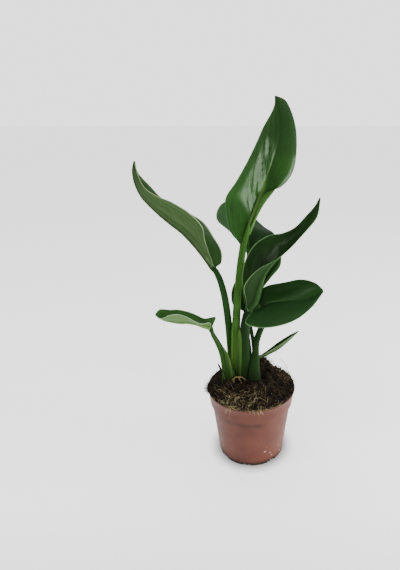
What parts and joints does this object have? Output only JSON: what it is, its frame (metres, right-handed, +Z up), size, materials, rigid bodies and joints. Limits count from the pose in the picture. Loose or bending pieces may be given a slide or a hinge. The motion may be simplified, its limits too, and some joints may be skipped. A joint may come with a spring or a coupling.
{
  "type": "potted bird of paradise",
  "caption": "Young bird of paradise plant with long-stalked paddle leaves, standing in a round tapered plastic nursery pot heaped with soil.",
  "frame": {"origin": "centre of the pot's underside, on the surface that the pot stands on", "axes": "+Z up, -Y towards the viewer in the picture, +X to the viewer's right"},
  "size_m": [0.2243, 0.15, 0.471],
  "materials": {
    "pot_plastic": "satin moulded terracotta plastic",
    "potting_soil": "loose damp peat and fibre, no shine",
    "leaf_green": "waxy semi-gloss leaf",
    "leaf_pale": "satin leaf underside",
    "leaf_shaded": "waxy semi-gloss leaf",
    "leaf_young": "satin young leaf",
    "dead_stalk": "dry and dull",
    "root": "dry and dull"
  },
  "bodies": {
    "root": {"pot": "pot_plastic", "soil": "potting_soil", "leaf_tall": "leaf_green", "leaf_long_left": "leaf_pale", "leaf_arching_right": "leaf_shaded", "leaf_broad_right": "leaf_green", "leaf_back_left": "leaf_shaded", "leaf_back_middle": "leaf_shaded", "leaf_small_left": "leaf_young", "leaf_small_right": "leaf_young", "dead_stub": "dead_stalk", "surface_roots": "root"}
  },
  "joints": []
}
